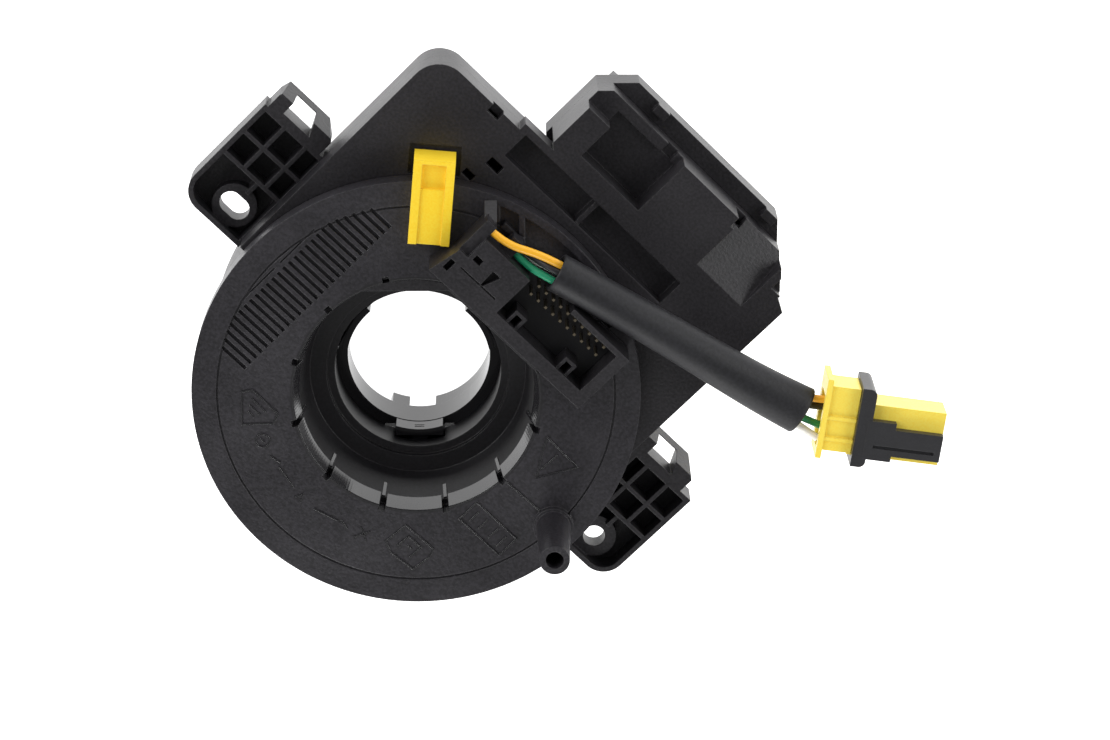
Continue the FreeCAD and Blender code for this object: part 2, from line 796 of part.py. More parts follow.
def block_outline(inset, low, high):
    """Outline of the block in plan, moved inwards by inset, between two values of y."""
    left = s.block_left + inset
    right = s.block_right - inset
    corner = inset * (2 - math.sqrt(2))
    chamfer = s.block_chamfer - corner
    wide_chamfer = s.block_wide_chamfer - corner
    top = s.block_top - inset
    left_cut = chamfer - (top - high)
    right_cut = wide_chamfer - (top - high)
    return [
        (left + s.block_neck, low),
        (s.shell_right - inset, low),
        (s.shell_right - inset, s.block_shoulder_y - inset),
        (right, s.block_shoulder_y + s.block_step - inset),
        (right, high - right_cut),
        (right - right_cut, high),
        (left + left_cut, high),
        (left, high - left_cut),
        (left, low + s.block_neck),
    ]


def make_shell(name, inset, z):
    """Shoulder of the stator in plan: a rectangle with one rounded corner."""
    blank = box(name + "_blank", (s.shell_left + inset, s.shell_right - inset),
                (s.shell_foot + inset, s.shell_top - inset), z)
    x, y = float(s.shell_left + inset), float(s.shell_top - inset)
    return rounded(name, blank, s.shoulder_corner - inset,
                   lambda edge, middle: upright(edge) and math.hypot(middle.x - x, middle.y - y) < 0.01)


def make_ear(side, x, columns, hole_half):
    """Ribbed ear open to the front, with a boss round its bolt hole and a cable loop."""
    low_z, high_z = s.flange_bottom, s.split
    corners = [float(value) for value in x]
    outer_x = corners[0] if side == "left" else corners[1]
    blank = rounded(f"ear_{side}_blank", box(f"ear_{side}_box", x, (s.ear_low, s.ear_high), (low_z, high_z)),
                    s.ear_corner,
                    lambda edge, middle: upright(edge) and abs(middle.x - outer_x) < 0.01 and middle.y < 0)
    rows = [(s.ear_rib_low + s.ear_rib / 2, s.ear_rib_high - s.ear_rib / 2),
            (s.ear_rib_high + s.ear_rib / 2, s.ear_high - s.ear_wall)]
    zone = (low_z + s.ear_base, high_z + s.over)
    cells = [box(f"ear_{side}_cell_{row}_{column}", columns[column], rows[row], zone)
             for row in range(len(rows)) for column in range(len(columns))]
    cells.append(box(f"ear_{side}_cell_low", (columns[0][0], columns[-1][1]),
                     (s.ear_low + s.ear_wall, s.ear_rib_low - s.ear_rib / 2), zone))
    sign = -1 if side == "left" else 1
    centre = s.bolt_x * sign
    boss = cylinder(f"boss_{side}", s.boss_radius, (low_z, low_z + s.boss_tall), centre)
    rib = box(f"boss_rib_{side}", (centre - s.ear_rib / 2, centre + s.ear_rib / 2),
              (s.boss_radius - s.over, s.ear_rib_low), (low_z, high_z - s.over))
    bolt_zone = (low_z - s.over, high_z + s.over)
    if hole_half:
        hole = join(f"bolt_slot_{side}",
                    cylinder(f"bolt_slot_{side}_a", s.bolt_radius, bolt_zone, centre - hole_half),
                    cylinder(f"bolt_slot_{side}_b", s.bolt_radius, bolt_zone, centre + hole_half),
                    box(f"bolt_slot_{side}_c", (centre - hole_half, centre + hole_half),
                        (-s.bolt_radius, s.bolt_radius), bolt_zone))
    else:
        hole = cylinder(f"bolt_hole_{side}", s.bolt_radius, bolt_zone, centre)
    open_ear = join(f"ear_{side}_solid", cut(f"ear_{side}_open", blank, *cells), boss, rib)
    loop = make_loop(side, s.loop_left_x if side == "left" else s.loop_right_x, (low_z, high_z))
    return cut(f"ear_{side}", join(f"ear_{side}_with_loop", open_ear, loop), hole)


def make_loop(side, first, zone):
    """Cable loop: two legs that slope down to a low strap, round a hole with one slanted side."""
    last = first + s.loop_long
    blank = prism(f"loop_{side}_blank", [
        (first, s.ear_high - s.ear_wall),
        (last, s.ear_high - s.ear_wall),
        (last, s.loop_shoulder_y),
        (first + s.loop_slant_from, s.loop_top_y),
        (first + s.loop_bevel, s.loop_top_y),
        (first, s.loop_shoulder_y),
    ], zone)
    hole_first = first + s.loop_hole_from
    hole_last = hole_first + s.loop_hole_long
    window = prism(f"loop_{side}_window", [
        (hole_first, s.loop_hole_low),
        (hole_last + s.loop_hole_slant, s.loop_hole_low),
        (hole_last, s.loop_hole_high),
        (hole_first, s.loop_hole_high),
    ], (zone[0] - s.over, zone[1] + s.over))
    above_strap = box(f"loop_{side}_above_strap", (hole_first, hole_last),
                      (s.loop_hole_high - s.over, s.loop_top_y + s.over),
                      (zone[0] + s.strap_tall, zone[1] + s.over))
    slope = sloped_box(f"loop_{side}_slope", (first - s.over, last + s.over), s.ear_high, s.leg_cut_thick,
                       s.leg_slope_y, zone[1], s.leg_slope)
    return cut(f"loop_{side}", blank, window, above_strap, slope)


def make_stator_case():
    ring = turned("case_ring", [
        (s.floor_hole_radius, s.floor_low),
        (ring_radius - s.rim_wide, s.floor_low),
        (ring_radius - s.rim_wide, s.ring_rear),
        (ring_radius, s.ring_rear),
        (ring_radius, s.split),
        (ring_radius - s.ring_wall, s.split),
        (ring_radius - s.ring_wall, s.floor_low + s.floor_thick),
        (s.floor_hole_radius, s.floor_low + s.floor_thick),
    ])
    shell = make_shell("case_shell", 0, (s.flange_bottom, s.split))
    shell_cavity = make_shell("case_cavity", s.wall, (s.flange_bottom + s.wall, s.split + s.over))
    block = prism("case_block", block_outline(0, s.shell_top - s.wall, s.block_top),
                  (s.block_bottom, s.block_split))
    block_cavity = prism("case_block_cavity", block_outline(s.wall, s.shell_top, s.block_top - s.wall),
                         (s.block_bottom + s.wall, s.split + s.over))
    sockets = []
    mouths = []
    for side, left, wide in (("left", s.left_socket_x, s.left_socket_wide),
                             ("right", s.right_socket_x, s.right_socket_wide)):
        x = (left, left + wide)
        y = (s.socket_low_y, s.socket_high_y)
        sockets.append(box(f"socket_{side}", x, y, (0, s.block_bottom + s.over)))
        mouths.append(box(f"socket_{side}_mouth", (x[0] + s.socket_wall, x[1] - s.socket_wall),
                          (y[0] + s.socket_wall, y[1] - s.socket_wall), (-s.over, s.block_bottom)))
        mouths.append(box(f"socket_{side}_window", (x[0] + s.header_inset, x[1] - s.header_inset),
                          (y[0] + s.header_inset, y[1] - s.header_inset),
                          (s.block_bottom - s.over, s.block_bottom + s.wall + s.over)))
    left_columns = [(s.ear_left_x + s.ear_wall, s.left_rib_1 - s.ear_rib / 2),
                    (s.left_rib_1 + s.ear_rib / 2, s.left_rib_2 - s.ear_rib / 2),
                    (s.left_rib_2 + s.ear_rib / 2, s.shell_left - s.fit)]
    right_columns = [(s.ear_inner_right, s.right_rib_1 - s.ear_rib / 2),
                     (s.right_rib_1 + s.ear_rib / 2, s.right_rib_2 - s.ear_rib / 2),
                     (s.right_rib_2 + s.ear_rib / 2, s.ear_right_x - s.ear_wall)]
    left_ear = make_ear("left", (s.ear_left_x, s.shell_left + s.over), left_columns, s.slot_half)
    right_ear = make_ear("right", (s.shell_right - s.over, s.ear_right_x), right_columns, 0)
    chamber = cylinder("case_chamber", ring_radius - s.ring_wall / 2,
                       (s.flange_bottom - s.over, s.split + s.over))
    outer = cut("case_outer", join("case_outer_solid", shell, left_ear, right_ear), shell_cavity, chamber)
    lower = cut("case_lower", join("case_lower_solid", block, *sockets), block_cavity, *mouths)
    shelf_zone = (s.block_split - s.wall, s.block_split)
    shelf = common("case_shelf",
                   prism("case_shelf_blank", block_outline(0, s.shell_top, s.block_top), shelf_zone),
                   box("case_shelf_box", (s.block_left, s.block_right), (s.cover_top - s.wall, s.block_top),
                       shelf_zone))
    nubs = [box(f"case_nub_{side}", (x, x + s.nub_wide), (s.block_top - s.nub_thick, s.block_top),
                (s.block_split - s.over, s.block_split + s.nub_tall))
            for side, x in (("left", s.nub_left_x), ("right", s.nub_right_x))]
    node(join("stator_case", ring, outer, lower, shelf, *nubs), "stator_case")


# Stator cover: ring collar, shoulder with the trough, and the top of the block

def make_stator_cover():
    ring = tube("cover_ring", ring_radius - s.ring_wall, ring_radius, (s.split, s.face))
    ceiling = s.face - s.wall
    shell = make_shell("cover_shell", 0, (s.split, s.face))
    shell_cavity = make_shell("cover_cavity", s.wall, (s.split - s.over, ceiling))
    block = prism("cover_block", block_outline(0, s.shell_top + s.fit, s.cover_top), (s.block_split, s.face))
    block_cavity = prism("cover_block_cavity",
                         block_outline(s.wall, s.shell_top + s.fit + s.wall, s.cover_top - s.wall),
                         (s.block_split - s.over, ceiling))
    bridge = box("cover_bridge", (s.block_left + s.block_neck, s.shell_right),
                 (s.shell_top - s.wall, s.shell_top + s.wall), (s.split, s.face))
    chamber = cylinder("cover_chamber", ring_radius - s.ring_wall / 2, (s.split - s.over, s.face + s.over))
    shells = cut("cover_shells", join("cover_shells_solid", shell, block), shell_cavity, block_cavity, chamber)
    trough_floor = s.face - s.trough_deep
    trough_mass = box("trough_mass", (s.trough_left - s.wall, s.trough_right + s.wall),
                      (s.trough_low - s.wall, s.shell_top + s.wall), (trough_floor - s.wall, s.face))
    ledge_mass = box("ledge_mass", (s.block_left, s.ledge_right + s.wall),
                     (s.ledge_low - s.wall, s.cover_top), (s.ledge_face - s.wall, s.face))
    pocket_mass = box("pocket_mass", (s.pocket_left - s.wall, s.ledge_right + s.wall),
                      (s.pocket_low - s.wall, s.ledge_low + s.pocket_under + s.wall),
                      (s.face - s.pocket_deep - s.wall, s.face))
    block_zone = prism("block_zone", block_outline(0, s.shell_top + s.fit, s.cover_top),
                       (s.block_split, s.face))
    corner_foot = s.face - s.corner_step_deep
    corner_mass = box("corner_mass", (s.ramp_right, s.block_right), (s.corner_step_y - s.wall, s.cover_top),
                      (corner_foot - s.wall, s.face))
    cheeks = [box(f"ramp_cheek_{side}", (x, x + s.wall), (s.ramp_from, s.cover_top),
                  (s.ledge_face - s.wall, s.face))
              for side, x in (("left", s.ramp_left - s.wall), ("right", s.ramp_right))]
    masses = common("cover_masses", join("cover_masses_solid", ledge_mass, pocket_mass, corner_mass, *cheeks),
                    block_zone)
    trough = box("trough", (s.trough_left, s.trough_right), (s.trough_low, s.shell_top),
                 (trough_floor, s.face + s.over))
    ledge = box("ledge", (s.block_left - s.over, s.ledge_right), (s.ledge_low, s.cover_top + s.over),
                (s.ledge_face, s.face + s.over))
    pocket = box("pocket", (s.pocket_left, s.ledge_right), (s.pocket_low, s.ledge_low + s.pocket_under),
                 (s.face - s.pocket_deep, s.face + s.over))
    above = s.face + s.over
    tab_seat = spun("tab_seat", s.lock_angle,
                    box("tab_seat_box", (s.disc_radius, s.disc_radius + s.lock_seat_long),
                        (-s.lock_seat_wide / 2, s.lock_seat_wide / 2), (s.face - s.lock_seat_deep, above)))
    corner_step = box("corner_step", (s.ramp_right + s.wall, s.block_right + s.over),
                      (s.corner_step_y, s.cover_top + s.over), (corner_foot, above))
    peephole = box("peephole", (s.peephole_left, s.peephole_left + s.peephole_wide),
                   (s.peephole_low, s.peephole_low + s.peephole_long), (ceiling - s.over, above))
    keyhole = box("keyhole", (s.keyhole_left, s.keyhole_left + s.keyhole_wide),
                  (s.keyhole_low, s.keyhole_low + s.keyhole_long), (ceiling - s.over, above))
    edge_notch = box("edge_notch", (s.edge_notch_left, s.edge_notch_left + s.edge_notch_wide),
                     (s.shell_top - s.edge_notch_deep, s.shell_top + s.over),
                     (s.face - s.edge_notch_tall, above))
    catches = [box(f"catch_{side}", (x, x + s.catch_wide), (s.cover_top - s.catch_long, s.cover_top + s.over),
                   (s.ledge_face - s.catch_deep, above))
               for side, x in (("left", s.catch_left_x), ("right", s.catch_right_x))]
    ramp_run = s.cover_top - s.ramp_from
    ramp_fall = s.face - s.ledge_face
    ramp_angle = math.degrees(math.atan2(ramp_fall, ramp_run))
    ramp_long = ramp_run + ramp_fall
    ramp_x = (s.ramp_left, s.ramp_right)
    above_ramp = sloped_box("above_ramp", ramp_x, ramp_long, ramp_fall * 2, s.ramp_from, s.face, ramp_angle)
    ramp_floor = common("ramp_floor", block_zone, sloped_box(
        "ramp_floor_blank", (s.ramp_left - s.over, s.ramp_right + s.over), ramp_long, s.wall,
        s.ramp_from, s.face - s.wall / math.cos(math.radians(ramp_angle)), ramp_angle))
    solid = join("cover_solid", shells, bridge, trough_mass, masses, ramp_floor)
    open_cover = cut("cover_open", solid, trough, ledge, pocket, tab_seat, corner_step, peephole, keyhole,
                     edge_notch, above_ramp, *catches)
    rib = box("trough_rib", (s.trough_rib_x - s.trough_rib_wide / 2, s.trough_rib_x + s.trough_rib_wide / 2),
              (s.trough_low - s.over, s.shell_top + s.over), (trough_floor - s.over, s.face - s.over))
    node(join("stator_cover", ring, open_cover, rib), "stator_cover")


# Header blocks and pins of the vehicle sockets

def make_vehicle_headers():
    floor = s.block_bottom + s.wall
    node(box("vehicle_lead_block",
             (s.left_socket_x, s.right_socket_x + s.right_socket_wide),
             (s.socket_low_y + s.socket_wall, s.socket_high_y - s.socket_wall),
             (floor, floor + s.vehicle_block_thick)), "vehicle_lead_block")
    middle = (s.socket_low_y + s.socket_high_y) / 2
    for side, left, wide in (("left", s.left_socket_x, s.left_socket_wide),
                             ("right", s.right_socket_x, s.right_socket_wide)):
        pins = []
        count = int((wide - s.header_inset * 2 - s.vehicle_pin_side * 2) / s.vehicle_pin_pitch)
        for row in (-1, 1):
            for column in range(count):
                x = left + s.header_inset + s.vehicle_pin_side + s.vehicle_pin_pitch * column
                y = middle + s.vehicle_pin_pitch * row
                pins.append(box(f"vehicle_pin_{side}_{len(pins)}", (x, x + s.vehicle_pin_side),
                                (y - s.vehicle_pin_side / 2, y + s.vehicle_pin_side / 2),
                                (s.vehicle_pin_tip, floor)))
        node(group(f"vehicle_pins_{side}", *pins), f"vehicle_pins_{side}")


# Films, ribbon and its end clips in the chamber

def make_chamber_parts():
    floor = s.floor_low + s.floor_thick
    under = s.disc_face - s.disc_plate
    inner_wall = ring_radius - s.ring_wall
    node(tube("rear_slide_film", s.floor_hole_radius + s.film_gap, inner_wall - s.film_gap,
              (floor, floor + s.film_thick)), "rear_slide_film")
    node(tube("front_slide_film", s.hub_radius + s.film_gap, inner_wall - s.film_gap,
              (under - s.film_thick, under)), "front_slide_film")
    ribbon_zone = (s.ribbon_low, s.ribbon_low + s.ribbon_wide)
    inner_clip = s.hub_radius + s.film_gap
    outer_clip = inner_wall - s.clip_seat
    node(box("inner_ribbon_clip", (-s.clip_lap, s.clip_wide - s.clip_lap),
             (inner_clip, inner_clip + s.clip_thick), ribbon_zone), "inner_ribbon_clip")
    node(box("outer_ribbon_clip", (s.clip_lap - s.clip_wide, s.clip_lap),
             (outer_clip - s.clip_thick, outer_clip), ribbon_zone), "outer_ribbon_clip")
    node(make_ribbon(), "spiral_ribbon")


def make_ribbon():
    """Flat cable wound as half circles about two centres, from the inner clip to the outer one."""
    half_thick = float(s.ribbon_thick) / 2
    first = float(s.hub_radius + s.film_gap + s.clip_thick + s.ribbon_gap) + half_thick
    last = float(ring_radius - s.ring_wall - s.clip_seat - s.clip_thick - s.ribbon_gap) - half_thick
    half_turns = int(s.ribbon_half_turns)
    growth = (last - first) / half_turns
    walls = []
    for offset in (-half_thick, half_thick):
        arcs = []
        for index in range(half_turns):
            radius = first + growth * index + offset
            centre = Vector(0, growth * (index % 2), float(s.ribbon_low))
            side = -1 if index % 2 else 1
            way = Vector(0, radius * side, 0)
            across = Vector(-radius * side, 0, 0)
            arcs.append(Part.Arc(centre + way, centre + across, centre - way).toShape())
        walls.append(arcs)
    starts = [arcs[0].valueAt(arcs[0].FirstParameter) for arcs in walls]
    stops = [arcs[-1].valueAt(arcs[-1].LastParameter) for arcs in walls]
    ends = [Part.LineSegment(*starts).toShape(), Part.LineSegment(*stops).toShape()]
    edges = Part.sortEdges(walls[0] + walls[1] + ends)[0]
    item = doc.addObject("Part::Feature", "spiral_ribbon")
    item.Shape = Part.Face(Part.Wire(edges)).extrude(Vector(0, 0, float(s.ribbon_wide)))
    return item


# Shipping lock that bridges the disc and the shoulder

def make_lock_tab():
    low = s.disc_face + s.gap
    top = low + s.lock_thick
    inner = s.disc_radius - s.lock_reach
    outer = inner + s.lock_long
    half = s.lock_wide / 2
    bar = box("lock_bar", (inner, outer), (-half, half), (low, top))
    hook = box("lock_hook", (s.disc_radius + s.hook_gap, outer), (-half, half), (s.face + s.gap, low + s.over))
    window = box("lock_window", (outer - s.lock_window_from - s.lock_window_long, outer - s.lock_window_from),
                 (-s.lock_window / 2, s.lock_window / 2), (top - s.lock_window_deep, top + s.over))
    tray = box("lock_tray", (inner - s.over, outer - s.lock_window_from - s.lock_window_long),
               (-s.lock_window / 2, s.lock_window / 2), (top - s.lock_tray_deep, top + s.over))
    solid = cut("lock_solid", join("lock_blank", bar, hook), window, tray)
    node(spun("lock_tab", s.lock_angle, solid), "lock_tab")


# Harness: four wires in a sleeve, from the guide on the disc to the airbag plug

def rounded_path(points):
    """Straight runs joined by arcs that use 0.45 of the shorter run at each point."""
    edges = []
    radii = []
    start = points[0]
    for before, corner, after in zip(points, points[1:], points[2:]):
        way_in, way_out = corner - before, after - corner
        half_turn = way_in.getAngle(way_out) / 2
        reach = 0.45 * min(way_in.Length, way_out.Length)
        radii.append(reach / math.tan(half_turn))
        way_in.normalize()
        way_out.normalize()
        entry, leave = corner - way_in * reach, corner + way_out * reach
        bisector = way_out - way_in
        bisector.normalize()
        middle = corner + bisector * radii[-1] * (1 / math.cos(half_turn) - 1)
        edges += [Part.LineSegment(start, entry).toShape(), Part.Arc(entry, middle, leave).toShape()]
        start = leave
    edges.append(Part.LineSegment(start, points[-1]).toShape())
    return Part.Wire(edges), radii


def swept(label, points, outer, inner=0.0):
    """Round tube along a path of runs and arcs, checked against its section times its length."""
    path, radii = rounded_path(points)
    start = points[0]
    along = points[1] - points[0]

    def rod(radius):
        ring = Part.Wire(Part.Circle(start, along, radius).toShape())
        return path.makePipeShell([ring], True, False)

    shape = rod(outer / 2)
    if inner:
        shape = shape.cut(rod(inner / 2))
    expected = math.pi / 4 * (outer ** 2 - inner ** 2) * path.Length
    print(f"{label}: length {path.Length:.1f}, volume share {shape.Volume / expected:.4f}, radii",
          " ".join(f"{radius:.0f}" for radius in radii))
    item = doc.addObject("Part::Feature", label)
    item.Shape = shape
    return item


SLEEVE_ROUTE = [
    Vector(-0.1, 48.2, 54.2),
    Vector(11.5, 51.2, 54.1),
    Vector(23.0, 53.9, 53.5),
    Vector(47.5, 58.9, 51.2),
    Vector(60.5, 61.7, 50.0),
    Vector(69.6, 64.2, 49.2),
]
# Each wire: its first points, on the disc, its place inside the sleeve, and where it enters the plug.
WIRES = {
    "wire_yellow": ([Vector(-18.25, 44.9, 55.2), Vector(-13.6, 45.0, 55.3), Vector(-6.8, 48.6, 55.6)],
                    Vector(0, 2.4, 0.8), (0.5, 3.6, 0.9)),
    "wire_white": ([Vector(-9.8, 45.5, 52.4), Vector(-6.0, 45.6, 53.1)],
                   Vector(0, -0.2, 1.7), (0.3, -6.3, 2.0)),
    "wire_black": ([Vector(-9.8, 46.2, 50.2), Vector(-6.0, 46.7, 50.8)],
                   Vector(0, 0.6, -0.9), (0.75, 1.3, -0.5)),
    "wire_green": ([Vector(-9.8, 44.2, 50.5), Vector(-6.0, 44.6, 51.1)],
                   Vector(0, -2.0, -1.0), (0.65, -3.8, -0.6)),
}


def on_plug(x, y, z):
    """A point of the plug's own frame, which lies along X from its rear face."""
    angle = math.radians(float(s.plug_angle))
    return Vector(float(s.plug_x) + x * math.cos(angle) - y * math.sin(angle),
                  float(s.plug_y) + x * math.sin(angle) + y * math.cos(angle),
                  float(s.plug_z) + z)


def make_harness():
    node(swept("harness_sleeve", SLEEVE_ROUTE, float(s.sleeve_size), float(s.sleeve_bore)), "harness_sleeve")
    for label, (start, shift, entry) in WIRES.items():
        route = start + [point + shift for point in SLEEVE_ROUTE] + [on_plug(*entry)]
        node(swept(label, route, float(s.wire_size)), label)


# Airbag plug, drawn along X from its rear face and then turned into place

def seat_on_plug(item):
    item.Placement = Placement(Vector(float(s.plug_x), float(s.plug_y), float(s.plug_z)),
                               Rotation(Vector(0, 0, 1), float(s.plug_angle)))
    bind(item, "Placement.Base.x", s.plug_x)
    bind(item, "Placement.Base.y", s.plug_y)
    bind(item, "Placement.Base.z", s.plug_z)
    bind(item, "Placement.Rotation.Angle", s.plug_angle)
    return item


def middle_box(name, x, wide, tall, y=0.0, z=0.0):
    """Block along X, centred on y and z."""
    return box(name, x, (y - wide / 2, y + wide / 2), (z - tall / 2, z + tall / 2))


def make_plug():
    rear = s.plug_rear_long
    tip = rear + s.plug_nose_long
    nose_y = s.plug_nose_y
    nose_top = s.plug_nose_tall / 2
    body = join("plug_blank",
                middle_box("plug_rear", (0, rear), s.plug_rear_wide, s.plug_tall),
                middle_box("plug_lip", (0, s.plug_lip), s.plug_rear_wide + s.plug_lip_proud * 2,
                           s.plug_tall + s.plug_lip_proud),
                middle_box("plug_nose", (rear - s.over, tip), s.plug_nose_wide, s.plug_nose_tall, nose_y),
                *[middle_box(f"plug_rib_{index}", (0, rear), s.plug_rib_wide,
                             s.plug_tall + s.plug_rib_tall * 2, y)
                  for index, y in enumerate((s.plug_rib_1, s.plug_rib_2))])
    mouth = middle_box("plug_mouth", (tip - s.plug_mouth_deep, tip + s.over),
                       s.plug_nose_wide - s.plug_mouth_wall * 2,
                       s.plug_nose_tall - s.plug_mouth_wall * 2, nose_y)
    hole_z = (s.plug_rear_hole_z - s.plug_rear_hole_tall / 2, s.plug_rear_hole_z + s.plug_rear_hole_tall / 2)
    rear_hole = box("plug_rear_hole", (-s.over, s.plug_rear_hole_deep),
                    (s.plug_rear_hole_low, s.plug_rear_hole_high), hole_z)
    node(seat_on_plug(cut("plug_body", body, mouth, rear_hole)), "plug_body")
    mouth_foot = tip - s.plug_mouth_deep
    contacts = [middle_box(f"plug_contact_{index}", (mouth_foot, mouth_foot + s.contact_long), s.contact_side,
                           s.contact_side, nose_y + s.contact_pitch * (index - (s.contact_count - 1) / 2))
                for index in range(int(s.contact_count))]
    node(seat_on_plug(group("plug_terminals", *contacts)), "plug_terminals")
    plate_x = (rear + s.fit, rear + s.fit + s.lock_plate_thick)
    plate = rounded("lock_plate", middle_box("lock_plate_blank", plate_x, s.lock_plate_wide, s.lock_plate_tall,
                                             s.lock_plate_y), s.lock_plate_round,
                    lambda edge, middle: upright(edge) and middle.x > plate_x[0] + s.over)
    hole = middle_box("lock_plate_hole", (rear - s.over, plate_x[1] + s.over), s.plug_nose_wide + s.gap * 2,
                      s.plug_nose_tall + s.gap * 2, nose_y)
    bar_z = (nose_top + s.gap, nose_top + s.gap + s.lock_bar_thick)
    bar = box("lock_rail", (plate_x[1] - s.over, s.lock_bar_to), (s.lock_bar_low, s.lock_bar_high), bar_z)
    finger = box("lock_finger", (s.lock_bar_to - s.over, s.lock_finger_to),
                 (s.lock_finger_low, s.lock_finger_high), bar_z)
    groove = box("lock_groove", (s.lock_groove_from, s.lock_groove_to),
                 (s.lock_groove_y - s.lock_groove_wide / 2, s.lock_groove_y + s.lock_groove_wide / 2),
                 (bar_z[1] - s.lock_groove_deep, bar_z[1] + s.over))
    slider = join("lock_slider", cut("lock_plate_open", plate, hole), bar, finger)
    node(seat_on_plug(cut("plug_lock", slider, groove)), "plug_lock")


make_rotor_disc()
make_rear_sleeve()
make_socket_housing()
make_front_pins()
make_stator_case()
make_stator_cover()
make_vehicle_headers()
make_chamber_parts()
make_lock_tab()
make_harness()
make_plug()
doc.recompute()

faults = [item.Label for item in doc.Objects if "Invalid" in item.State or "Error" in item.State]
for label, item in nodes.items():
    if item.Shape.isNull() or not item.Shape.isValid():
        faults.append(label)
if faults:
    raise RuntimeError("failed objects: " + ", ".join(faults))
for label, item in nodes.items():
    item.Shape.exportStep(f"parts/{label}.step")
    print(f"{label}: {len(item.Shape.Solids)} solids, {item.Shape.Volume / 1000:.2f} cm3")
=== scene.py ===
import math

import bpy
import numpy as np
from mathutils import Matrix, Vector


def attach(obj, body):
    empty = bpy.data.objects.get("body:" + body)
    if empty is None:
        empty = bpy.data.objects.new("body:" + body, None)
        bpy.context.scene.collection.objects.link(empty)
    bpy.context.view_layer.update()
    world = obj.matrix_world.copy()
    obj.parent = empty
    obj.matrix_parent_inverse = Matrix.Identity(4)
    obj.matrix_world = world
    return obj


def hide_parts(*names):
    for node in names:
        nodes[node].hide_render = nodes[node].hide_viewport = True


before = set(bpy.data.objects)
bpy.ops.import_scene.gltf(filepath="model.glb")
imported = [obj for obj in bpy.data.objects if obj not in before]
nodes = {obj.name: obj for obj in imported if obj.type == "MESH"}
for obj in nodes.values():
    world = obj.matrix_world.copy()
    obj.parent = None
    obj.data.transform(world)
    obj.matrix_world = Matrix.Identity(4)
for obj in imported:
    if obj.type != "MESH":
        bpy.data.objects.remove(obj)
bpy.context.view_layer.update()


# Stator case
# Lower half of the fixed housing, injection moulded in black glass-filled PBT against a
# spark-eroded tool: a fine even grain, slightly shiny, with edges rounded by the mould.

def linear(colour):
    """Linear RGBA of an sRGB hex colour."""
    parts = [int(colour[i:i + 2], 16) / 255 for i in (1, 3, 5)]
    return [p / 12.92 if p <= 0.04045 else ((p + 0.055) / 1.055) ** 2.4 for p in parts] + [1.0]


def add_node(tree, kind, inputs=None, **settings):
    """A shader node with its settings; inputs gives a value or another node's socket by input name."""
    node = tree.nodes.new(kind)
    for field, value in settings.items():
        setattr(node, field, value)
    for name, value in (inputs or {}).items():
        if isinstance(value, bpy.types.NodeSocket):
            tree.links.new(value, node.inputs[name])
        else:
            node.inputs[name].default_value = value
    return node


def blank_material(name):
    """A material without a shader, its node tree, and the socket that gives Object coordinates."""
    material = bpy.data.materials.new(name)
    material.use_nodes = True
    tree = material.node_tree
    tree.nodes.clear()
    place = add_node(tree, "ShaderNodeTexCoord").outputs["Object"]
    return material, tree, place


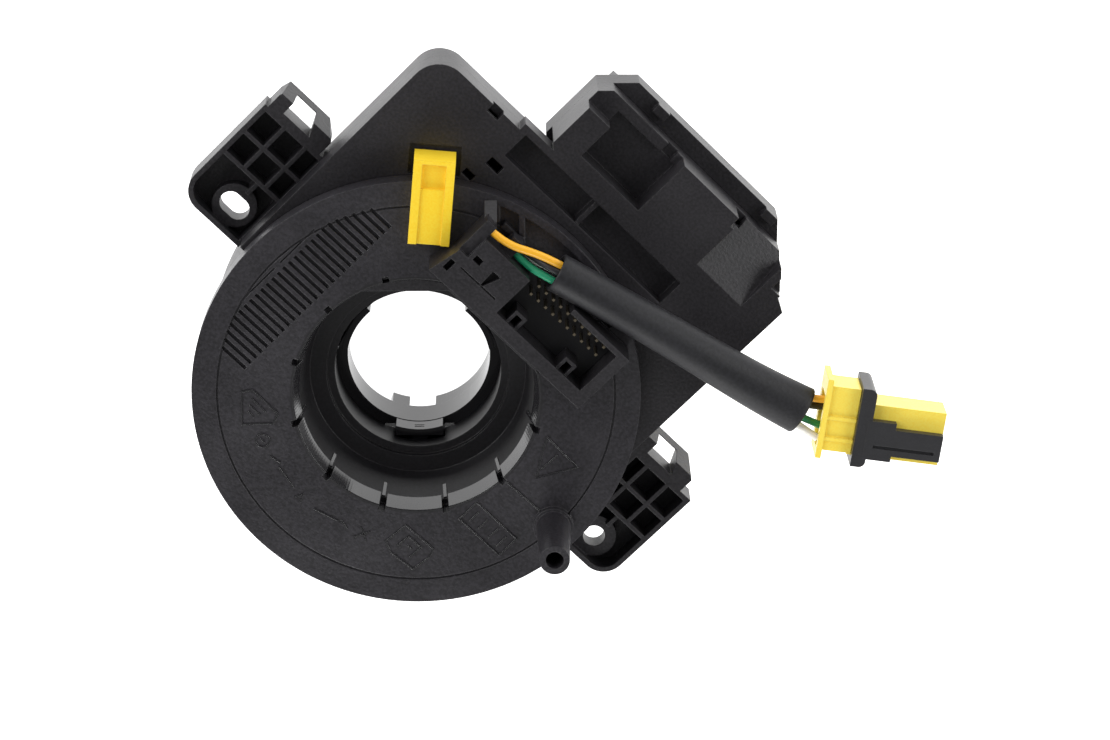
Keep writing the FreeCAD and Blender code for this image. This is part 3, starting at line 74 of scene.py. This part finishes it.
def moulded_plastic(name, dark, light, roughness, grain_mm, grain_depth_mm, edge_mm, shine=0.5,
                    polish_and_shade_mm=0.0, polish=0.0):
    """Moulded plastic: two close tones, grain of a size in millimetres and rounded edges. Nearer to
    the rotor's axis than polish_and_shade_mm the tool was polished: no grain and roughness polish; there
    the tone is also halved, which is painted shade for the recess of the hub and its funnel."""
    material, tree, place = blank_material(name)
    patches = add_node(tree, "ShaderNodeTexNoise", {"Vector": place, "Scale": 55.0, "Detail": 3.0})
    grain = add_node(tree, "ShaderNodeTexNoise",
                     {"Vector": place, "Scale": 1000.0 / grain_mm, "Detail": 2.0})
    speckle = add_node(tree, "ShaderNodeMapRange",
                       {"Value": grain.outputs["Fac"], "From Min": 0.35, "From Max": 0.65})
    blend = add_node(tree, "ShaderNodeMath",
                     {0: patches.outputs["Fac"], 1: speckle.outputs["Result"]}, operation="ADD")
    half = add_node(tree, "ShaderNodeMath", {0: blend.outputs[0], 1: 0.5}, operation="MULTIPLY")
    mix = add_node(tree, "ShaderNodeMix",
                   {0: half.outputs[0], 6: linear(dark), 7: linear(light)}, data_type="RGBA")
    gloss = add_node(tree, "ShaderNodeMapRange",
                     {"Value": patches.outputs["Fac"], "From Min": 0.3, "From Max": 0.7,
                      "To Min": roughness - 0.04, "To Max": roughness + 0.05}).outputs["Result"]
    strength, colour = 0.6, mix.outputs[2]
    if polish_and_shade_mm:
        flat = add_node(tree, "ShaderNodeVectorMath", {0: place, 1: (1, 1, 0)}, operation="MULTIPLY")
        reach = add_node(tree, "ShaderNodeVectorMath", {0: flat.outputs[0]}, operation="LENGTH")
        grained = add_node(tree, "ShaderNodeMapRange",
                           {"Value": reach.outputs["Value"], "From Min": polish_and_shade_mm / 1000 - 0.0001,
                            "From Max": polish_and_shade_mm / 1000}).outputs["Result"]
        strength = add_node(tree, "ShaderNodeMath", {0: grained, 1: strength},
                            operation="MULTIPLY").outputs[0]
        gloss = add_node(tree, "ShaderNodeMapRange",
                         {"Value": grained, "To Min": polish, "To Max": gloss}).outputs["Result"]
        # Painted shade: inside polish_and_shade_mm the colour is halved to darken the hub's recess.
        tone = add_node(tree, "ShaderNodeMapRange", {"Value": grained, "To Min": 0.5, "To Max": 1.0})
        colour = add_node(tree, "ShaderNodeVectorMath", {0: colour, 1: tone.outputs["Result"]},
                          operation="MULTIPLY").outputs[0]
    edge = add_node(tree, "ShaderNodeBevel", {"Radius": edge_mm / 1000}, samples=4)
    bump = add_node(tree, "ShaderNodeBump",
                    {"Height": grain.outputs["Fac"], "Strength": strength,
                     "Distance": grain_depth_mm / 1000, "Normal": edge.outputs["Normal"]})
    shader = add_node(tree, "ShaderNodeBsdfPrincipled",
                      {"Base Color": colour, "Roughness": gloss,
                       "Specular IOR Level": shine, "IOR": 1.55, "Normal": bump.outputs["Normal"]})
    add_node(tree, "ShaderNodeOutputMaterial", {"Surface": shader.outputs["BSDF"]})
    return material


def dress(node, material):
    """Gives a carried-over solid its material in every slot."""
    mesh = nodes[node].data
    if not mesh.materials:
        mesh.materials.append(material)
    for index in range(len(mesh.materials)):
        mesh.materials[index] = material


grained_pbt = moulded_plastic("grained_black_pbt", "#0e0d0f", "#2b292d", roughness=0.44, grain_mm=0.7,
                              grain_depth_mm=0.12, edge_mm=0.35, shine=0.4)
dress("stator_case", grained_pbt)

# Ears' corner walls
# Each ear's rounded outer corner is a curved wall of the same moulding, as thick as the ear's
# other walls. It closes the low cell inside the round corner.


def new_object(name, data):
    """An object in the scene that shows a mesh, a curve, a light or a camera."""
    thing = bpy.data.objects.new(name, data)
    bpy.context.scene.collection.objects.link(thing)
    return thing


def add_piece(name, points, faces, material, body):
    """A piece made of points, in millimetres, and faces, riding on a body."""
    mesh = bpy.data.meshes.new(name)
    mesh.from_pydata(np.asarray(points) / 1000, [], faces)
    mesh.materials.append(material)
    piece = new_object(name, mesh)
    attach(piece, body)


def strip_faces(rows, ring, closed):
    """Quads over rows of points, each row a closed ring. Corner c of row r is point r * ring + c; it
    joins corner c + 1 and row r + 1, and if closed the last row joins the first."""
    row, column = np.mgrid[0:rows if closed else rows - 1, 0:ring]
    after_row, after_column = (row + 1) % rows, (column + 1) % ring
    return np.stack([row * ring + column, row * ring + after_column,
                     after_row * ring + after_column, after_row * ring + column],
                    axis=-1).reshape(-1, 4)


def turned_blocks(blocks, centre=(0.0, 0.0), turn=1.5):
    """Blocks turned about an upright axis. Each block has a clockwise profile of (radius, height) and
    a first and last angle: a profile point at angle a lies at (r cos a, r sin a, z) from the centre,
    for angles about turn degrees apart, and both ends are closed."""
    points = np.empty((0, 3))
    faces = []
    for profile, first, last in blocks:
        radius, height = np.array(profile).T
        corners = len(radius)
        angle = np.radians(np.linspace(first, last, int((last - first) / turn) + 2))[:, None]
        ring = np.stack([centre[0] + radius * np.cos(angle), centre[1] + radius * np.sin(angle),
                         np.broadcast_to(height, (len(angle), corners))], axis=-1)
        base = len(points)
        faces += (base + strip_faces(len(angle), corners, closed=False)).tolist()
        faces.append(list(range(base, base + corners))[::-1])
        faces.append(list(range(base + corners * (len(angle) - 1), base + corners * len(angle))))
        points = np.vstack([points, ring.reshape(-1, 3)])
    return points, faces


corner_profile = [(4.7, 34.49), (5.99, 34.49), (5.99, 28.4), (4.7, 28.4)]
corner_y = -0.4
for side, corner_x, first in (("left", -69.1, 180), ("right", 66.3, 270)):
    points, faces = turned_blocks([(corner_profile, first, first + 90)], (corner_x, corner_y))
    add_piece(f"ear_corner_{side}", points, faces, grained_pbt, "stator")

# Vehicle sockets' pins
# Tinned brass blades set in one black nylon header, which is dropped in before the cover closes.
header_nylon = moulded_plastic("smooth_black_nylon", "#141416", "#1b1b1e", roughness=0.3, grain_mm=0.5,
                               grain_depth_mm=0.006, edge_mm=0.15)
dress("vehicle_lead_block", header_nylon)


def bare_metal(name, colour, roughness, streak_mm):
    """Drawn metal: fine streaks along Z change its roughness."""
    material, tree, place = blank_material(name)
    stretch = add_node(tree, "ShaderNodeMapping", {"Vector": place, "Scale": (1.0, 1.0, 0.05)})
    streaks = add_node(tree, "ShaderNodeTexNoise",
                       {"Vector": stretch.outputs["Vector"], "Scale": 1000.0 / streak_mm})
    gloss = add_node(tree, "ShaderNodeMapRange",
                     {"Value": streaks.outputs["Fac"],
                      "To Min": roughness - 0.08, "To Max": roughness + 0.1})
    shader = add_node(tree, "ShaderNodeBsdfPrincipled",
                      {"Base Color": linear(colour), "Metallic": 1.0,
                       "Roughness": gloss.outputs["Result"]})
    add_node(tree, "ShaderNodeOutputMaterial", {"Surface": shader.outputs["BSDF"]})
    return material


tinned_brass = bare_metal("tinned_brass", "#8d8370", roughness=0.36, streak_mm=0.2)
dress("vehicle_pins_left", tinned_brass)
dress("vehicle_pins_right", tinned_brass)

# Sliding films, flat ribbon and its two clips
# The ribbon is copper traces between polyester films; it runs between two slippery films, and a
# nylon clip holds each end. All are shut inside the chamber.


def clear_film(name, colour, roughness, band_mm):
    """Polyester film: faint bands across Z, 2 pi band_mm apart, show the laminated traces."""
    material, tree, place = blank_material(name)
    bands = add_node(tree, "ShaderNodeTexWave", {"Vector": place, "Scale": 1000.0 / band_mm / 20},
                     bands_direction="Z")
    height = add_node(tree, "ShaderNodeBump",
                      {"Height": bands.outputs["Fac"], "Strength": 0.3, "Distance": 0.00003})
    shader = add_node(tree, "ShaderNodeBsdfPrincipled",
                      {"Base Color": linear(colour), "Roughness": roughness,
                       "Normal": height.outputs["Normal"]})
    add_node(tree, "ShaderNodeOutputMaterial", {"Surface": shader.outputs["BSDF"]})
    return material


slide_film = clear_film("white_slide_film", "#e8e6df", roughness=0.25, band_mm=1.0)
dress("rear_slide_film", slide_film)
dress("front_slide_film", slide_film)
ribbon_laminate = clear_film("copper_ribbon_laminate", "#d9b784", roughness=0.3, band_mm=1.6)
dress("spiral_ribbon", ribbon_laminate)
dress("inner_ribbon_clip", header_nylon)
dress("outer_ribbon_clip", header_nylon)

# Stator cover
# Upper half of the fixed housing, of the same PBT as the case, snapped to it.
dress("stator_cover", grained_pbt)

# Rotor disc
# Disc, hub, funnel, collar and drive post in one moulding of the same plastic, a little shinier
# where fingers and the wheel's boss rub it.
# Within 31 mm of the axis the tone is halved: painted shade in the hub's recess and funnel.
disc_pbt = moulded_plastic("disc_black_pbt", "#100f11", "#323035", roughness=0.38, grain_mm=0.7,
                           grain_depth_mm=0.12, edge_mm=0.35, polish_and_shade_mm=31.0, polish=0.42)
dress("rotor_disc", disc_pbt)

# Funnel teeth and ribs
# The hub's rim is cut into teeth whose inner faces lean outwards and catch the light. Below each
# gap a short rib runs down the funnel. All are polished by the tool's core.
polished_pbt = moulded_plastic("polished_black_pbt", "#19181b", "#1f1e21", roughness=0.1, grain_mm=0.6,
                               grain_depth_mm=0.002, edge_mm=0.15, shine=1.0)
tooth_profile = [(30.1, 47.9), (30.45, 47.9), (30.45, 42.5), (28.9, 42.5)]
rib_profile = [(29.6, 42.5), (30.2, 42.5), (28.9, 37.0), (28.3, 37.0)]
tooth_pitch, half_gap, half_rib = 30.0, 1.6, 0.9
gap_angles = np.arange(-2.0, 358.0, tooth_pitch)
# The front socket's housing covers the teeth after these two gaps.
covered = (58.0, 88.0)
teeth = [(tooth_profile, gap + half_gap, gap + tooth_pitch - half_gap)
         for gap in gap_angles if gap not in covered]
ribs = [(rib_profile, gap - half_rib, gap + half_rib) for gap in gap_angles]
points, faces = turned_blocks(teeth + ribs)
add_piece("funnel_teeth", points, faces, polished_pbt, "rotor")

# Moulded marks on the disc
# Plain signs for the fitter, raised a little from the grained face: a tag, a ring, dashes, a cross,
# a house outline, a plate with bars and a warning triangle.


def raised_lines(lines, width, low, high):
    """Raised lines on a flat face, each a list of (x, y) that closes if it ends where it began. The
    sides lie half the width from the line, along the mean normal of the two runs that meet at a
    point, lengthened by one over the cosine of half the turn, which counts as least_cosine or more;
    the section is a rectangle."""
    least_cosine = 0.3
    points = np.empty((0, 3))
    faces = []
    for line in lines:
        line = np.array(line, dtype=float)
        closed = np.allclose(line[0], line[-1])
        if closed:
            line = line[:-1]
        count = len(line)
        run = np.roll(line, -1, axis=0) - line
        run /= np.linalg.norm(run, axis=1)[:, None]
        before = np.roll(run, 1, axis=0)
        if not closed:
            run[-1] = run[-2]
            before[0] = run[0]
            before[-1] = run[-2]
        mean = run + before
        mean /= np.linalg.norm(mean, axis=1)[:, None]
        normal = np.column_stack([-mean[:, 1], mean[:, 0]])
        reach = width / 2 / np.maximum(least_cosine, np.sum(mean * run, axis=1))[:, None]
        left, right = line + normal * reach, line - normal * reach
        section = ((left, low), (left, high), (right, high), (right, low))
        corners = len(section)
        ring = np.stack([np.column_stack([side, np.full(count, level)]) for side, level in section],
                        axis=1)
        base = len(points)
        faces += (base + strip_faces(count, corners, closed)).tolist()
        if not closed:
            faces.append(list(range(base, base + corners))[::-1])
            faces.append(list(range(base + corners * (count - 1), base + corners * count)))
        points = np.vstack([points, ring.reshape(-1, 3)])
    return points, faces


def ring_line(x, y, radius, count=20):
    """Closed round line: count points at equal angles about (x, y)."""
    angle = np.linspace(0, 2 * np.pi, count + 1)
    return np.column_stack([x + radius * np.cos(angle), y + radius * np.sin(angle)])


def box_line(x0, y0, x1, y1):
    """Closed line round a rectangle."""
    return [(x0, y0), (x1, y0), (x1, y1), (x0, y1), (x0, y0)]


marks = [
    [(-31.3, -29.1), (-29.7, -26.8), (-20.9, -27.0), (-20.1, -29.7), (-25.3, -35.2), (-31.3, -29.1)],
    [(-28.3, -28.6), (-23.4, -28.8)],
    [(-27.6, -30.2), (-23.9, -30.3)],
    [(-26.6, -31.7), (-24.6, -31.8)],
    ring_line(-18.8, -34.8, 1.7),
    [(-19.6, -34.8), (-18.0, -34.8)],
    [(-14.7, -36.5), (-11.7, -36.0)],
    [(-11.2, -37.2), (-4.9, -38.5)],
    [(-3.0, -40.3), (-1.9, -38.2), (-0.9, -40.4)],
    [(2.6, -39.1), (9.1, -37.3)],
    [(9.5, -36.6), (12.3, -37.3)],
    [(15.0, -37.7), (16.8, -33.8)],
    [(14.4, -34.5), (17.9, -36.4)],
    [(21.4, -32.9), (22.0, -26.3), (31.4, -26.1), (32.1, -28.5), (31.5, -33.6), (24.4, -34.2),
     (21.4, -32.9)],
    [(24.2, -31.6), (24.6, -28.0), (28.9, -28.0), (28.6, -31.9)],
    [(25.9, -29.9), (27.6, -30.0)],
    box_line(30.2, -15.8, 44.1, -9.6),
    [(32.4, -14.4), (32.4, -11.0)],
    [(35.4, -14.4), (35.4, -11.0)],
    [(38.9, -14.4), (38.9, -11.0)],
    [(41.9, -14.4), (41.9, -11.0)],
    [(30.3, 15.0), (41.3, 14.6), (36.0, 5.4), (30.3, 15.0)],
    [(35.5, 13.4), (35.3, 7.9)],
    [(31.6, -0.5), (42.9, -0.2)],
]
mark_base, mark_top, mark_width = 47.95, 48.22, 0.36
points, faces = raised_lines(marks, mark_width, mark_base, mark_top)
add_piece("disc_marks", points, faces, polished_pbt, "rotor")

# Rear sleeve
# Turns with the hub and holds the disc to the stator from behind. Black acetal, smooth and glossy.
sleeve_acetal = moulded_plastic("glossy_black_acetal", "#151416", "#1b1a1d", roughness=0.16,
                                grain_mm=0.6, grain_depth_mm=0.002, edge_mm=0.3)
dress("rear_sleeve", sleeve_acetal)

# Latch heads
# Each of the sleeve's three latches has a head that follows the bore's curve, with two short slots
# in the middle of its face.
pad_inner, pad_slot, pad_outer, pad_low, pad_high = 18.1, 18.7, 19.6, 17.9, 23.75
slot_levels = ((20.5, 20.85), (21.6, 21.95))
pad_profile = [(pad_inner, pad_high), (pad_outer, pad_high), (pad_outer, pad_low), (pad_inner, pad_low)]
slotted_profile = list(pad_profile)
for low, high in slot_levels:
    slotted_profile += [(pad_inner, low), (pad_slot, low), (pad_slot, high), (pad_inner, high)]
half_pad, half_slot = 19.0, 3.8
latch_angles = (-45.0, 75.0, 195.0)
heads = []
for middle in latch_angles:
    heads += [(pad_profile, middle - half_pad, middle - half_slot),
              (slotted_profile, middle - half_slot, middle + half_slot),
              (pad_profile, middle + half_slot, middle + half_pad)]
points, faces = turned_blocks(heads)
add_piece("latch_heads", points, faces, sleeve_acetal, "rotor")

# Front socket
# Housing with the wheel switches' socket and the wires' guide, two rows of tinned pins in it.
dress("socket_housing", grained_pbt)
dress("front_lead_block", header_nylon)
dress("front_pins", tinned_brass)

# Lock tab
# Shipping lock in yellow polyamide. It reaches from the disc to the shoulder until the unit is
# fitted, and is then pulled off.
yellow_nylon = moulded_plastic("yellow_polyamide", "#fdd01c", "#ffdf40", roughness=0.36, grain_mm=0.5,
                               grain_depth_mm=0.012, edge_mm=0.3)
dress("lock_tab", yellow_nylon)

# Airbag wires
# Four stranded wires in soft PVC, 1.9 mm thick, that rise from the guide into the sleeve.


def wire_pvc(name, colour):
    """Soft PVC insulation: a little uneven in tone, with a satin shine."""
    material, tree, place = blank_material(name)
    lay = add_node(tree, "ShaderNodeTexNoise", {"Vector": place, "Scale": 900.0, "Detail": 2.0})
    height = add_node(tree, "ShaderNodeBump",
                      {"Height": lay.outputs["Fac"], "Strength": 0.25, "Distance": 0.00004})
    gloss = add_node(tree, "ShaderNodeMapRange",
                     {"Value": lay.outputs["Fac"], "To Min": 0.3, "To Max": 0.45})
    shader = add_node(tree, "ShaderNodeBsdfPrincipled",
                      {"Base Color": linear(colour), "Roughness": gloss.outputs["Result"],
                       "Normal": height.outputs["Normal"]})
    add_node(tree, "ShaderNodeOutputMaterial", {"Surface": shader.outputs["BSDF"]})
    return material


def smooth_line(name, points):
    """A smooth open line: a NURBS spline of order 3 with the points, in metres, as its control points."""
    curve = bpy.data.curves.new(name, "CURVE")
    curve.dimensions = "3D"
    curve.resolution_u = 12
    spline = curve.splines.new("NURBS")
    spline.points.add(len(points) - 1)
    spline.points.foreach_set("co", [value for point in points for value in (*point, 1.0)])
    spline.order_u = 3
    spline.use_endpoint_u = True
    return new_object(name, curve)


def length_of(thing):
    """Length of a line with no thickness, and the points it is drawn through."""
    mesh = bpy.data.meshes.new_from_object(thing)
    points = np.empty(len(mesh.vertices) * 3)
    mesh.vertices.foreach_get("co", points)
    points = points.reshape(-1, 3)
    bpy.data.meshes.remove(mesh)
    return float(np.linalg.norm(np.diff(points, axis=0), axis=1).sum()), points


sleeve_route = np.array([[-0.0001, 0.0482, 0.0542], [0.0115, 0.0512, 0.0541], [0.0230, 0.0539, 0.0535],
                         [0.0475, 0.0589, 0.0512], [0.0605, 0.0617, 0.0500], [0.0696, 0.0642, 0.0492]])
# Each wire: its colour, its first points, its place inside the sleeve, its place across the sleeve's
# flat end, and where it enters the plug, along the plug and across it from the middle of its rear.
wires = {
    "wire_yellow": ("#f0b028",
                    [[-0.01825, 0.0449, 0.0552], [-0.0136, 0.0450, 0.0553], [-0.0068, 0.0486, 0.0556]],
                    [0, 0.0024, 0.0008], 0.0036, [0.0005, 0.0036, 0.0009]),
    "wire_white": ("#f2f0ea", [[-0.0098, 0.0455, 0.0502], [-0.0060, 0.0456, 0.0507]],
                   [0, 0.0000, -0.0010], -0.0036, [0.0003, -0.0063, 0.0020]),
    "wire_black": ("#232326", [[-0.0098, 0.0462, 0.0520], [-0.0060, 0.0467, 0.0527]],
                   [0, 0.0006, 0.0015], 0.0015, [0.00075, 0.0013, -0.0005]),
    "wire_green": ("#22966c", [[-0.0098, 0.0442, 0.0518], [-0.0060, 0.0440, 0.0527]],
                   [0, -0.0021, 0.0009], -0.0016, [0.00065, -0.0038, -0.0006]),
}
# How flat the sleeve lies at each point of its route: 0 is round, 1 is its flat end.
flattened = np.array([0, 0, 0, 0.15, 0.6, 1.0])[:, None]
end_run = sleeve_route[-1] - sleeve_route[-2]
end_across = np.array([-end_run[1], end_run[0], 0]) / np.hypot(end_run[0], end_run[1])
plug_rear = np.array([0.0731, 0.0670, 0.0484])
plug_angle = math.radians(37)
plug_axes = np.array([[math.cos(plug_angle), math.sin(plug_angle), 0],
                      [-math.sin(plug_angle), math.cos(plug_angle), 0], [0, 0, 1]])
wire_radius = 0.00095
for node, (colour, first, shift, spread, entry) in wires.items():
    inside = sleeve_route + np.array(shift) * (1 - flattened) + end_across * spread * flattened
    route = np.vstack([first, inside, plug_rear + np.array(entry) @ plug_axes])
    wire = smooth_line(node + "_insulation", route)
    wire_length = length_of(wire)[0]
    wire.data.bevel_depth = wire_radius
    wire.data.bevel_resolution = 6
    wire.data.use_fill_caps = True
    wire.data.materials.append(wire_pvc(node + "_pvc", colour))
    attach(wire, "rotor")
    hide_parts(node)

# Harness sleeve
# Soft black PVC tube pushed over the wires. It lies flatter and wider towards the plug.
guide_line = smooth_line("sleeve_line", sleeve_route)
sleeve_length, sleeve_path = length_of(guide_line)
bpy.data.objects.remove(guide_line)


def pipe(name, path, rings, squeeze, spread):
    """Tube along a path. Each ring is (distance along 0..1, radius). The section is an ellipse: at
    distance d its width grows by spread d^2 and its height shrinks by squeeze d^2. Its plane stands
    across the line between the path's points a little behind and a little ahead."""
    corners, little = 40, 0.01
    steps = np.r_[0, np.cumsum(np.linalg.norm(np.diff(path, axis=0), axis=1))]
    steps /= steps[-1]
    around = np.linspace(0, 2 * np.pi, corners, endpoint=False)
    along, radius = np.array(rings).T
    centre, ahead, behind = (
        np.column_stack([np.interp(np.clip(along + shift, 0, 1), steps, path[:, axis])
                         for axis in range(3)])
        for shift in (0, little, -little))
    way = (ahead - behind) / np.linalg.norm(ahead - behind, axis=1)[:, None]
    side = np.cross([0, 0, 1], way)
    side /= np.linalg.norm(side, axis=1)[:, None]
    up = np.cross(way, side)
    wide = radius * (1 + spread * along ** 2)
    tall = radius * (1 - squeeze * along ** 2)
    points = (centre[:, None] + side[:, None] * (wide[:, None] * np.cos(around))[..., None]
              + up[:, None] * (tall[:, None] * np.sin(around))[..., None])
    mesh = bpy.data.meshes.new(name)
    mesh.from_pydata(points.reshape(-1, 3), [], strip_faces(len(rings), corners, closed=True).tolist())
    mesh.shade_smooth()
    return new_object(name, mesh)


tube_radius, tube_bore = 0.0048, 0.0039
lip_run, lip_outer, lip_inner, tube_steps = 0.004, 0.0046, 0.0041, 60
outer = [(step, tube_radius) for step in np.linspace(lip_run, 1 - lip_run, tube_steps)]
inner = [(step, tube_bore) for step in np.linspace(1 - lip_run, lip_run, tube_steps)]
lip_end = [(1.0, lip_outer), (1.0, lip_inner)]
lip_start = [(0.0, lip_inner), (0.0, lip_outer)]
sleeve = pipe("harness_tube", sleeve_path, outer + lip_end + inner + lip_start, squeeze=0.2, spread=0.3)
soft_pvc = moulded_plastic("soft_black_pvc_tube", "#141416", "#242428", roughness=0.52, grain_mm=0.8,
                           grain_depth_mm=0.08, edge_mm=0.1, shine=0.3)
sleeve.data.materials.append(soft_pvc)
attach(sleeve, "rotor")
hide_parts("harness_sleeve")

# Airbag plug
# Yellow polyamide body with a black nylon lock plate round its neck, and tinned contacts inside.
pale_nylon = moulded_plastic("pale_yellow_polyamide", "#fddc48", "#ffea68", roughness=0.32, grain_mm=0.5,
                             grain_depth_mm=0.012, edge_mm=0.3)
lock_nylon = moulded_plastic("satin_black_polyamide", "#242426", "#2c2c2f", roughness=0.4, grain_mm=0.45,
                             grain_depth_mm=0.05, edge_mm=0.3)
dress("plug_body", pale_nylon)
dress("plug_lock", lock_nylon)
dress("plug_terminals", tinned_brass)

# Floor, light and camera
# White table under a bright surround, with the part of the sky over the camera kept dark so that
# the black plastic stays black.
table_half, table_top = 3, -0.0002
table_corners = [(-table_half, -table_half, table_top), (table_half, -table_half, table_top),
                 (table_half, table_half, table_top), (-table_half, table_half, table_top)]
floor_mesh = bpy.data.meshes.new("table")
floor_mesh.from_pydata(table_corners, [], [(0, 1, 2, 3)])
floor = new_object("table", floor_mesh)
white_table = bpy.data.materials.new("white_table")
white_table.use_nodes = True
shader = white_table.node_tree.nodes["Principled BSDF"]
shader.inputs["Base Color"].default_value = linear("#f4f4f4")
shader.inputs["Roughness"].default_value = 0.9
shader.inputs["Specular IOR Level"].default_value = 0.1
shader.inputs["Emission Color"].default_value = (1, 1, 1, 1)
shader.inputs["Emission Strength"].default_value = 1.2
floor_mesh.materials.append(white_table)

world = bpy.data.worlds.new("studio")
bpy.context.scene.world = world
world.use_nodes = True
tree = world.node_tree
tree.nodes.clear()
direction = add_node(tree, "ShaderNodeTexCoord").outputs["Generated"]
height = add_node(tree, "ShaderNodeSeparateXYZ", {"Vector": direction}).outputs["Z"]
sky = add_node(tree, "ShaderNodeMapRange", {"Value": height, "From Min": 0.45, "From Max": 0.9,
                                            "To Min": 1.05, "To Max": 0.13})
glow = add_node(tree, "ShaderNodeBackground", {"Color": (1, 1, 1, 1), "Strength": sky.outputs["Result"]})
add_node(tree, "ShaderNodeOutputWorld", {"Surface": glow.outputs["Background"]})


def soft_box(name, place, target, size, watts):
    """Square soft light at a place, facing a target, in metres."""
    light = bpy.data.lights.new(name, "AREA")
    light.size = size
    light.energy = watts
    lamp = new_object(name, light)
    lamp.location = place
    lamp.rotation_euler = (Vector(target) - Vector(place)).to_track_quat("-Z", "Y").to_euler()


part_middle = (0, 0.02, 0.03)
soft_box("left_box", (-1.3, -0.2, 0.9), part_middle, size=0.9, watts=9)
soft_box("right_box", (0.9, 1.2, 0.9), part_middle, size=0.9, watts=9)
soft_box("low_box", (0.6, -1.2, 0.8), part_middle, size=0.7, watts=8)

# The camera stands over the disc, 20 degrees off its axis towards -X and +Y. focal, the photo's size
# and the place where the disc's middle is seen are in pixels of the photo.
photo_width, photo_height = 1110, 740
disc_middle = Vector((0, 0, 0.048))
tilt, yaw, roll = (math.radians(angle) for angle in (20.3376, -0.9783, -0.3301))
distance, focal, seen = 0.800, 3266.59, (416.361, 396.600)
across = Vector((1, 1, 0)).normalized()
away = Vector((-1, 1, 0)).normalized()
up = Vector((0, 0, 1))
back = up * math.cos(tilt) + away * math.sin(tilt)
upward = away * math.cos(tilt) - up * math.sin(tilt)
back_turned = back * math.cos(yaw) + across * math.sin(yaw)
right = across * math.cos(yaw) - back * math.sin(yaw)
camera_x = right * math.cos(roll) + upward * math.sin(roll)
camera_y = upward * math.cos(roll) - right * math.sin(roll)
place = (disc_middle - camera_x * (seen[0] - photo_width / 2) / focal * distance
         + camera_y * (seen[1] - photo_height / 2) / focal * distance + back_turned * distance)
lens = bpy.data.cameras.new("camera")
lens.sensor_width = 36
lens.lens = focal * lens.sensor_width / photo_width
lens.clip_start = 0.01
camera = new_object("camera", lens)
camera.matrix_world = Matrix((
    (camera_x.x, camera_y.x, back_turned.x, place.x),
    (camera_x.y, camera_y.y, back_turned.y, place.y),
    (camera_x.z, camera_y.z, back_turned.z, place.z),
    (0, 0, 0, 1)))
bpy.context.scene.camera = camera
bpy.context.scene.view_settings.view_transform = "Standard"
